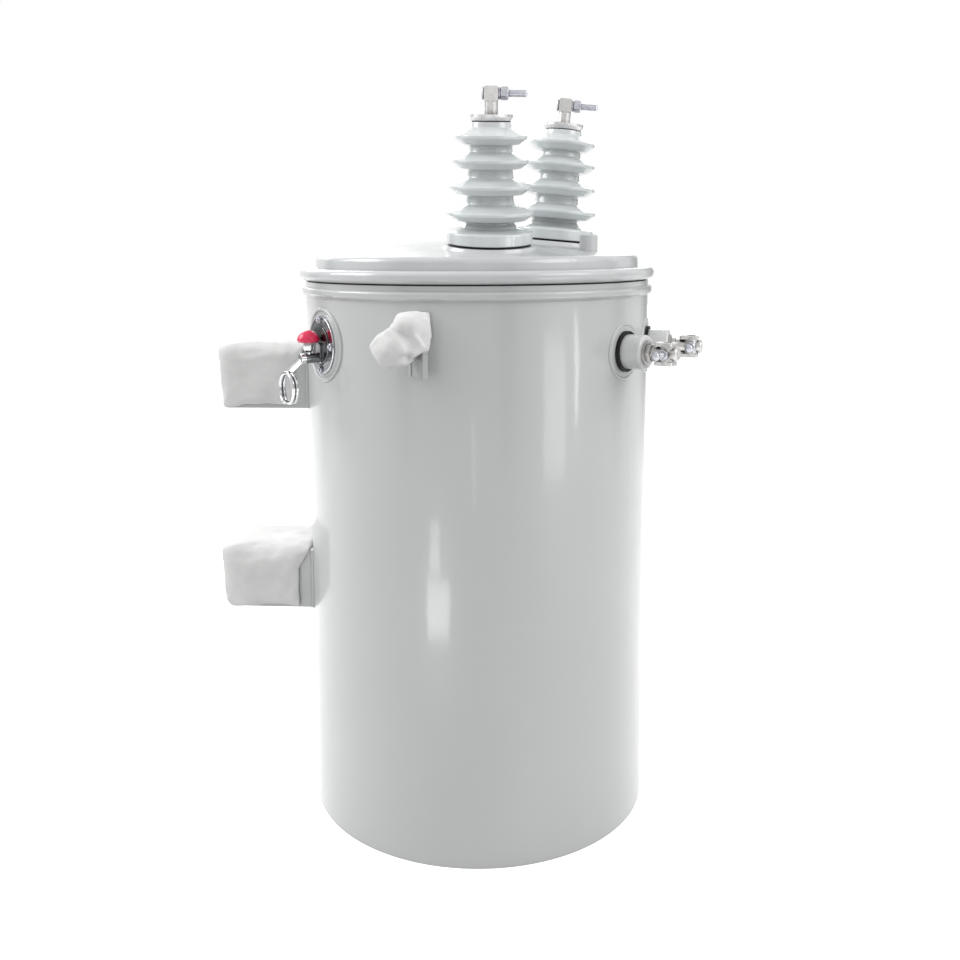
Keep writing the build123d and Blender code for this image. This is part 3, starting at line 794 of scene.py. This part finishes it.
def make_welds(sizes):
    """Every weld that shows: hangers, lugs, bosses, the wall's seam and the rim."""
    for level in ("lower", "upper"):
        low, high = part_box(f"hanger_{level}")
        beads = []
        for y in (high.y + 0.4 * sizes.hanger, high.y - HANGER_PLATE - 0.4 * sizes.hanger):
            for side in (-1, 1):
                x = -sqrt(TANK_RADIUS**2 - y**2) - 0.2 * sizes.hanger
                beads.append(wall_bead("bead", sizes.hanger, (x, side * y, low.z), sizes, high.z - low.z))
        fit(joined(beads, f"weld_hanger_{level}"), "tank_paint")
    for end in ENDS:
        low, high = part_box(f"lifting_lug_{end}")
        offset = LUG_THICKNESS / 2 / cos(LUG_LEAN) + 0.35 * sizes.lug
        foot = TANK_RADIUS + 0.1 * sizes.lug
        beads = [wall_bead("bead", sizes.lug, (side * offset, foot, low.z), sizes, high.z - low.z)
                 for side in (-1, 1)]
        bead = joined(beads, f"weld_lug_{end}")
        swing(bead, LUG_TURNS[end])
        fit(bead, "tank_paint")
        fit(boss_bead(f"weld_lv_boss_{end}", f"lv_boss_{end}", LV_BEAD, sizes.boss, sizes), "tank_paint")
    fit(boss_bead("weld_switch_boss", "switch_boss", SWITCH_BEAD, 1.3 * sizes.boss, sizes), "tank_paint")

    seam = wall_bead("weld_wall_seam", sizes.seam, (0, TANK_RADIUS - 0.6 * sizes.seam, MM), sizes,
                     WALL_TOP - 2 * MM)
    swing(seam, sizes.seam_turn)
    fit(seam, "tank_paint")
    bpy.ops.mesh.primitive_torus_add(
        major_radius=TANK_RADIUS, minor_radius=sizes.rim, major_segments=360, minor_segments=10,
        location=(0, 0, WALL_TOP))
    rim = named("weld_rim")
    pick(rim, "VERT", lambda v: v.co.z < -0.6 * sizes.rim)
    bpy.ops.transform.shrink_fatten(value=0.15 * sizes.rim)
    settle(rim)
    smooth(rim, 80)
    fit(rim, "tank_paint")


# ---------------- bolts and nuts
def rod_between(name, start, end, radius, vertices=40):
    run = end - start
    bpy.ops.mesh.primitive_cylinder_add(
        vertices=vertices, radius=radius, depth=run.length, location=(start + end) / 2,
        rotation=run.to_track_quat("Z", "Y").to_euler())
    return named(name)


def rim_edges(half, end):
    """Chooses the round edge at one end of a rod, or at both when end is 0."""
    def chosen(edge):
        level = [v.co.z for v in edge.verts]
        flat = abs(level[0] - level[1]) < HAIR
        return flat and abs(abs(level[0]) - half) < HAIR and level[0] * end >= 0
    return chosen


RINGS = 4  # of a rod's mesh in each turn of its thread


def threaded_rod(name, start, end, radius, sizes, tip=0.0):
    """A rod with thread crests and roots, and its far end rounded."""
    rod = rod_between(name, start, end, radius)
    length = (end - start).length
    rings = RINGS * round(length / sizes.pitch)
    cut_rings(rod, length, rings)
    step = length / rings
    last = length / 2 - (tip or step)
    pick(rod, "VERT", lambda v: round((v.co.z + length / 2) / step) % RINGS == 0 and abs(v.co.z) < last)
    bpy.ops.transform.shrink_fatten(value=-sizes.depth)
    only(rod)
    if tip:
        for vertex in rod.data.vertices:
            beyond = vertex.co.z - (length / 2 - tip)
            if beyond > 0:
                inwards = 1 - (1 - sqrt(max(0, 1 - (beyond / tip) ** 2))) * tip / radius
                vertex.co.x *= inwards
                vertex.co.y *= inwards
    settle(rod)
    smooth(rod, 50)
    return rod


def hex_nut(name, start, end, across, chamfer=0.13):
    """A hexagon nut, its corners turned off at both ends."""
    length = (end - start).length
    nut = rod_between(name, start, end, across / sqrt(3), 6)
    tool = rod_between("turning", start, end, across / sqrt(3) * 1.001, 64)
    round_edges(tool, rim_edges(length / 2, 0), chamfer * across, 1)
    modify(nut, "BOOLEAN", operation="INTERSECT", object=tool, solver="EXACT")
    bpy.data.objects.remove(tool)
    modify(nut, "BEVEL", width=0.25 * MM, segments=2, limit_method="ANGLE", angle_limit=radians(25))
    settle(nut)
    smooth(nut, 30)
    return nut


def spring_washer(name, start, end, inner, outer):
    """A split washer: a square section wound almost once round."""
    run = end - start
    half = run.length / 2
    bpy.ops.mesh.primitive_cube_add(
        size=1, location=((inner + outer) / 2, 0, 0), scale=(outer - inner, 0.2 * MM, 1.5 * half))
    washer = named(name)
    settle(washer)
    pick(washer, "FACE", lambda face: face.normal.y > 0.9)
    bpy.ops.mesh.spin(steps=56, angle=radians(349), center=(0, 0, 0), axis=(0, 0, 1))
    turn_outwards(merge=True)
    only(washer)
    for vertex in washer.data.vertices:
        turn = (atan2(vertex.co.y, vertex.co.x) % (2 * pi)) / (2 * pi)
        vertex.co.z += (turn - 0.5) * 0.5 * half
    modify(washer, "BEVEL", width=0.2 * MM, segments=2, limit_method="ANGLE", angle_limit=radians(50))
    carry(washer, Matrix.Translation((start + end) / 2) @ point_to(run))
    smooth(washer, 40)
    return washer


def hv_bolt(end, sizes):
    """Clamp bolt of a high-voltage terminal: head, threaded shank, spring washer and nut."""
    node = f"hv_clamp_bolt_{end}"
    start, tip = line_through(node, (1, 0, 0))
    axis = (tip - start).normalized()
    head, block, washer, nut = (start + axis * way * MM for way in (3, 20, 22.2, 32.5))  # where each ends
    pieces = [
        threaded_rod("shank", block, tip, 4.2 * MM, sizes, tip=2.6 * MM),
        hex_nut("nut", washer, nut, sizes.hv_nut),
        spring_washer("washer", block, washer, inner=4.4 * MM, outer=7.4 * MM),
        hex_nut("head", start, head, sizes.hv_nut, 0.1),
    ]
    bolt = joined(pieces, f"hv_bolt_{end}")
    fit(bolt, "zinc", replaced=[node])


def lv_bolt(end, sizes):
    """Clamp bolt of a low-voltage terminal: domed head, shank and nut."""
    node = f"lv_clamp_bolt_{end}"
    middle = sum(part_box(f"lv_terminal_{end}"), Vector()) / 2
    bolt_middle = sum(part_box(node), Vector()) / 2
    start, tip = line_through(node, bolt_middle - middle)
    axis = (tip - start).normalized()
    thread, washer, nut = (start + axis * way * MM for way in (1.7, 4.8, 11.3))  # where each starts or ends
    head = 7 * MM
    pieces = [
        threaded_rod("shank", thread, tip - axis * (head - MM), 4 * MM, sizes),
        hex_nut("nut", washer, nut, sizes.lv_nut),
    ]
    dome = rod_between("head", tip - axis * head, tip, 5.2 * MM, 48)
    round_edges(dome, rim_edges(head / 2, 1), 3.4 * MM, 7)
    round_edges(dome, rim_edges(head / 2, -1), 0.5 * MM, 2)
    settle(dome)
    smooth(dome, 50)
    bolt = joined(pieces + [dome], f"lv_bolt_{end}")
    fit(bolt, "zinc", replaced=[node])


def flange_nuts(sizes):
    """Four nuts on their studs round the breaker fitting."""
    node = "switch_flange_nuts"
    direction = heading("switch_hub")
    axis = outwards(direction)
    low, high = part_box("switch_hub")
    height = (low.z + high.z) / 2
    along = corners(node) @ np.array(axis)
    above = Vector((0, 0, height + sizes.stud_circle))
    seat, tip = above + axis * along.min(), above + axis * along.max()
    washer, nut = (seat + axis * way * MM for way in (0.7, 3.7))  # where each ends
    disc = rod_between("washer", seat, washer, 5.1 * MM, 40)
    round_edges(disc, rim_edges((washer - seat).length / 2, 0), 0.2 * MM, 2)
    settle(disc)
    smooth(disc, 40)
    first = joined([
        threaded_rod("stud", seat, tip, 2.4 * MM, sizes, tip=0.6 * MM),
        hex_nut("nut", washer, nut, sizes.flange_nut),
        disc,
    ], "nut_1")
    centre = Matrix.Translation((0, 0, height))
    turns = [centre @ Matrix.Rotation(radians(turn), 4, axis) @ centre.inverted()
             for turn in (90, 180, 270)]
    nuts = joined([first] + [copied(first, "nut_copy", turn) for turn in turns], "flange_nuts")
    fit(nuts, "chrome", replaced=[node], finish="zinc")


def cap_seals():
    """The dark seal that shows as a line under each high-voltage cap."""
    radius, half = 24.3 * MM, 0.9 * MM
    for end in ENDS:
        start, top = line_through(f"hv_cap_{end}", (0, 0, 1), shortest=True)
        axis = (top - start).normalized()
        seal = rod_between(f"hv_cap_seal_{end}", start - axis * half, start + axis * half, radius, 72)
        round_edges(seal, rim_edges(half, 0), 0.5 * MM, 3)
        pick(seal, "FACE", lambda face: abs(face.normal.z) > 0.9)
        bpy.ops.mesh.inset(thickness=2 * MM)
        settle(seal)
        smooth(seal, 50)
        fit(seal, "bushing_seal")


def pull_ring(sizes):
    """A split ring of round wire, wound nearly twice round."""
    node = "switch_ring"
    back, front = line_through(node, outwards(heading("switch_hub")), shortest=True)
    centre, axis = (back + front) / 2, (front - back).normalized()
    points = corners(node) - np.array(centre)
    reach = np.linalg.norm(points, axis=1).max()
    ring = reach - (front - back).length / 2
    bpy.ops.mesh.primitive_circle_add(
        vertices=18, radius=sizes.wire, fill_type="NOTHING", location=(ring, 0, 0),
        rotation=(pi / 2, 0, 0))
    wire = named("pull_ring")
    settle(wire)
    rise = 2 * sizes.wire * 1.02 * sizes.turn / (2 * pi)
    modify(wire, "SCREW", angle=sizes.turn, screw_offset=rise, steps=190, render_steps=190, axis="Z",
           use_merge_vertices=False, use_normal_calculate=True)
    pick(wire, "EDGE", lambda edge: edge.is_boundary)
    bpy.ops.mesh.fill_holes(sides=24)
    turn_outwards()
    only(wire)
    split = Matrix.Rotation(radians(200), 4, "Z")  # where the wire's ends lie
    carry(wire, Matrix.Translation(centre) @ point_to(axis, "X") @ split @ (
        Matrix.Translation((0, 0, -rise / 2))))
    smooth(wire, 60)
    fit(wire, "chrome", body="handle", replaced=[node])


# ---------------- stage
def spot_at(bearing, reach, height):
    """A place round the tank; bearings in degrees from straight ahead, positive to the right."""
    turn = radians(bearing - 90)
    return Vector((reach * cos(turn), reach * sin(turn), height))


def stood(name, data):
    """A new camera or lamp in the scene."""
    thing = bpy.data.objects.new(name, data)
    bpy.context.collection.objects.link(thing)
    return thing


def make_camera(sizes):
    camera = stood("camera", bpy.data.cameras.new("camera"))
    camera.data.lens = sizes.lens
    camera.data.shift_y = sizes.shift
    camera.data.clip_end = 50  # past the floor's far edge
    spot = Vector((0, -sizes.distance, sizes.height))
    aim = Matrix.Rotation(-sizes.pan, 4, "Z") @ Matrix.Rotation(pi / 2 - sizes.pitch, 4, "X")
    aim = aim @ Matrix.Rotation(-sizes.roll, 4, "Z")
    camera.matrix_world = Matrix.Rotation(sizes.turn, 4, "Z") @ Matrix.Translation(spot) @ aim
    bpy.context.scene.camera = camera


def lamp(name, bearing, reach, height, size, power, target=0.45, gloss_only=False):
    """A soft rectangular lamp, facing the tank's axis at the target height."""
    light = stood(name, bpy.data.lights.new(name, "AREA"))
    light.data.shape = "RECTANGLE"
    light.data.size, light.data.size_y = size
    light.data.energy = power
    light.location = spot_at(bearing, reach, height)
    light.rotation_euler = (Vector((0, 0, target)) - light.location).to_track_quat("-Z", "Y").to_euler()
    light.visible_camera = False
    if gloss_only:
        light.visible_diffuse = False
        light.visible_shadow = False


def background_ray(tree):
    """1 for a ray that sees the background: from the camera, or by gloss or glass."""
    path = add(tree, "LightPath")
    factor = path.outputs["Is Camera Ray"]
    for name in ("Is Glossy Ray", "Is Transmission Ray"):
        most = add(tree, "Math")
        most.operation = "MAXIMUM"
        link(tree, (factor, most.inputs[0]), (path.outputs[name], most.inputs[1]))
        factor = most.outputs["Value"]
    return factor


def make_world(sizes):
    """White behind everything, and an even room light on the object."""
    world = bpy.data.worlds.new("studio")
    bpy.context.scene.world = world
    world.use_nodes = True
    tree = world.node_tree
    tree.nodes.clear()
    out, mix = add(tree, "OutputWorld"), add(tree, "MixShader")
    for index, strength in ((1, sizes.level), (2, 1.0)):
        background = add(tree, "Background", color=(1, 1, 1, 1), strength=strength)
        tree.links.new(background.outputs["Background"], mix.inputs[index])
    link(tree, (background_ray(tree), mix.inputs["Fac"]), (mix.outputs["Shader"], out.inputs["Surface"]))


def make_floor():
    """A pale floor that reads as the white background and keeps the object's shadow."""
    bpy.ops.mesh.primitive_circle_add(
        vertices=96, radius=12, fill_type="NGON", location=(0, 0, CAD_BOX[0].z - 0.2 * MM))
    floor = named("floor")
    material, tree, shader = new_finish("floor_paper", (1, 1, 1))
    tree.nodes.remove(shader)
    out = tree.nodes["Material Output"]
    paper = add(tree, "BsdfDiffuse", color=(0.80, 0.80, 0.80, 1))
    dim = add(tree, "BsdfDiffuse", color=(0.42, 0.42, 0.42, 1))  # what lights the object from below
    lift = add(tree, "Emission", strength=0.62)
    seen, mix = add(tree, "AddShader"), add(tree, "MixShader")
    link(tree, (paper.outputs["BSDF"], seen.inputs[0]), (lift.outputs["Emission"], seen.inputs[1]),
         (background_ray(tree), mix.inputs["Fac"]), (dim.outputs["BSDF"], mix.inputs[1]),
         (seen.outputs["Shader"], mix.inputs[2]), (mix.outputs["Shader"], out.inputs["Surface"]))
    floor.data.materials.append(material)


# bearing, distance from the tank's axis, height, width and height, power
SOFT_LAMPS = {
    "left": (-88, 3.0, 2.5, (1.8, 1.8), 62),
    "right": (70, 3.0, 2.5, (1.8, 1.8), 40),
    "back_left": (-152, 2.8, 1.9, (1.5, 1.0), 22),
    "back_right": (172, 2.8, 1.9, (1.2, 1.0), 10),
}
REFLECTED_LAMPS = {  # the streaks and patches on the enamel, seen by gloss only
    "strip_right": (67.5, 2.4, 0.36, (0.10, 0.34), 1.1),
    "strip_middle": (52, 2.4, 0.24, (0.60, 0.46), 3.0),
    "strip_centre": (1.5, 1.13, 0.33, (0.04, 0.20), 0.05),
    "patch_low": (-19.0, 0.94, 0.08, (0.22, 0.12), 0.62),
    "patch_high": (-20.5, 0.94, 0.20, (0.09, 0.08), 0.13),
}
# dark cards that only gloss sees: bearing, distance, height of the middle, width, height
CARDS = (
    (-114, 2.2, 1.0, 1.1, 2.2), (-42, 2.4, 1.0, 0.8, 2.4), (22, 2.4, 1.0, 0.8, 2.4),
    (104, 2.2, 1.0, 0.9, 2.2), (148, 2.2, 1.0, 1.4, 2.2),
)


def card_paper():
    """Dark in the middle and clear at the edges, so that its reflection has no outline."""
    paper, tree, shader = new_finish("card_paper", (0.03, 0.03, 0.03), roughness=1.0)
    place = add(tree, "TexCoord")
    mapping = add(tree, "Mapping", location=(-1, -1, 0), scale=(2, 2, 1))
    fade, clear, mix = add(tree, "TexGradient"), add(tree, "BsdfTransparent"), add(tree, "MixShader")
    fade.gradient_type = "SPHERICAL"
    out = tree.nodes["Material Output"]
    link(tree, (place.outputs["UV"], mapping.inputs["Vector"]),
         (mapping.outputs["Vector"], fade.inputs["Vector"]),
         (ranged(tree, fade.outputs["Fac"], 0, 0.9, 0, 0.6), mix.inputs["Fac"]),
         (clear.outputs["BSDF"], mix.inputs[1]), (shader.outputs["BSDF"], mix.inputs[2]),
         (mix.outputs["Shader"], out.inputs["Surface"]))
    return paper


def dark_card(index, paper, bearing, reach, height, across, tall):
    bpy.ops.mesh.primitive_plane_add(
        size=1, location=spot_at(bearing, reach, height), rotation=(pi / 2, 0, radians(bearing)))
    card = named(f"card_{index}")
    card.scale = (across, tall, 1)
    settle(card)
    for sight in ("camera", "diffuse", "transmission", "volume_scatter", "shadow"):
        setattr(card, f"visible_{sight}", False)
    card.data.materials.append(paper)


def make_stage(sizes):
    bpy.context.scene.view_settings.view_transform = "Standard"
    make_camera(sizes)
    make_world(sizes)
    make_floor()
    for name, place in SOFT_LAMPS.items():
        lamp(name, *place)
    for name, (bearing, reach, height, size, power) in REFLECTED_LAMPS.items():
        lamp(name, bearing, reach, height, size, power, target=height, gloss_only=True)
    paper = card_paper()
    for index, place in enumerate(CARDS):
        dark_card(index, paper, *place)


# ---------------- operators
class TRANSFORMER_OT_finishes(bpy.types.Operator):
    """Make the finishes and give every part of the frame its own"""

    bl_idname = "transformer.finishes"
    bl_label = "Finishes"

    def execute(self, context):
        only(None)
        make_finishes(context.scene.transformer_finishes)
        paint_nodes()
        return {"FINISHED"}


class TRANSFORMER_OT_hanger_foam(bpy.types.Operator):
    """Fold foam sheet over the two pole hangers"""

    bl_idname = "transformer.hanger_foam"
    bl_label = "Hanger foam"

    def execute(self, context):
        only(None)
        for level in ("upper", "lower"):
            hanger_foam(level, context.scene.transformer_foam)
        return {"FINISHED"}


class TRANSFORMER_OT_lug_foam(bpy.types.Operator):
    """Crumple foam over the two lifting lugs"""

    bl_idname = "transformer.lug_foam"
    bl_label = "Lug foam"

    def execute(self, context):
        only(None)
        for end in ENDS:
            lug_foam(end, context.scene.transformer_foam)
        return {"FINISHED"}


class TRANSFORMER_OT_welds(bpy.types.Operator):
    """Lay the weld beads of the hangers, lugs, bosses, wall seam and rim"""

    bl_idname = "transformer.welds"
    bl_label = "Welds"

    def execute(self, context):
        only(None)
        make_welds(context.scene.transformer_welds)
        return {"FINISHED"}


class TRANSFORMER_OT_bolts(bpy.types.Operator):
    """Make the terminals' threaded clamp bolts and the breaker fitting's nuts, studs and washers"""

    bl_idname = "transformer.bolts"
    bl_label = "Bolts and nuts"

    def execute(self, context):
        only(None)
        sizes = context.scene.transformer_bolts
        for bolt in (hv_bolt, lv_bolt):
            for end in ENDS:
                bolt(end, sizes)
        flange_nuts(sizes)
        return {"FINISHED"}


class TRANSFORMER_OT_cap_seals(bpy.types.Operator):
    """Make the seals under the high-voltage caps"""

    bl_idname = "transformer.cap_seals"
    bl_label = "Cap seals"

    def execute(self, context):
        only(None)
        cap_seals()
        return {"FINISHED"}


class TRANSFORMER_OT_pull_ring(bpy.types.Operator):
    """Wind the split ring of the breaker handle"""

    bl_idname = "transformer.pull_ring"
    bl_label = "Pull ring"

    def execute(self, context):
        only(None)
        pull_ring(context.scene.transformer_ring)
        return {"FINISHED"}


class TRANSFORMER_OT_stage(bpy.types.Operator):
    """Set up the floor, camera and lights"""

    bl_idname = "transformer.stage"
    bl_label = "Stage"

    def execute(self, context):
        only(None)
        make_stage(context.scene.transformer_stage)
        return {"FINISHED"}


GROUPS = {
    "transformer_finishes": Finishes,
    "transformer_foam": FoamSizes,
    "transformer_welds": WeldSizes,
    "transformer_bolts": BoltSizes,
    "transformer_ring": RingSizes,
    "transformer_stage": StageSizes,
}
STEPS = (
    TRANSFORMER_OT_finishes,
    TRANSFORMER_OT_hanger_foam,
    TRANSFORMER_OT_lug_foam,
    TRANSFORMER_OT_welds,
    TRANSFORMER_OT_bolts,
    TRANSFORMER_OT_cap_seals,
    TRANSFORMER_OT_pull_ring,
    TRANSFORMER_OT_stage,
)


class TRANSFORMER_PT_panel(bpy.types.Panel):
    """Lists the steps and their sizes"""

    bl_idname = "TRANSFORMER_PT_panel"
    bl_label = "Pole mounted transformer"
    bl_space_type = "VIEW_3D"
    bl_region_type = "UI"
    bl_category = "Transformer"

    def draw(self, context):
        for step in STEPS:
            self.layout.operator(step.bl_idname)
        for group, kind in GROUPS.items():
            box = self.layout.box()
            box.label(text=kind.__doc__)
            for size in kind.__annotations__:
                box.prop(getattr(context.scene, group), size)


def register():
    for kind in (*GROUPS.values(), *STEPS, TRANSFORMER_PT_panel):
        bpy.utils.register_class(kind)
    for group, kind in GROUPS.items():
        setattr(bpy.types.Scene, group, PointerProperty(type=kind))


def unregister():
    for group in GROUPS:
        delattr(bpy.types.Scene, group)
    for kind in reversed((*GROUPS.values(), *STEPS, TRANSFORMER_PT_panel)):
        bpy.utils.unregister_class(kind)


def main():
    register()
    for step in STEPS:
        getattr(bpy.ops.transformer, step.bl_idname.split(".")[1])()


if __name__ == "__main__":
    main()
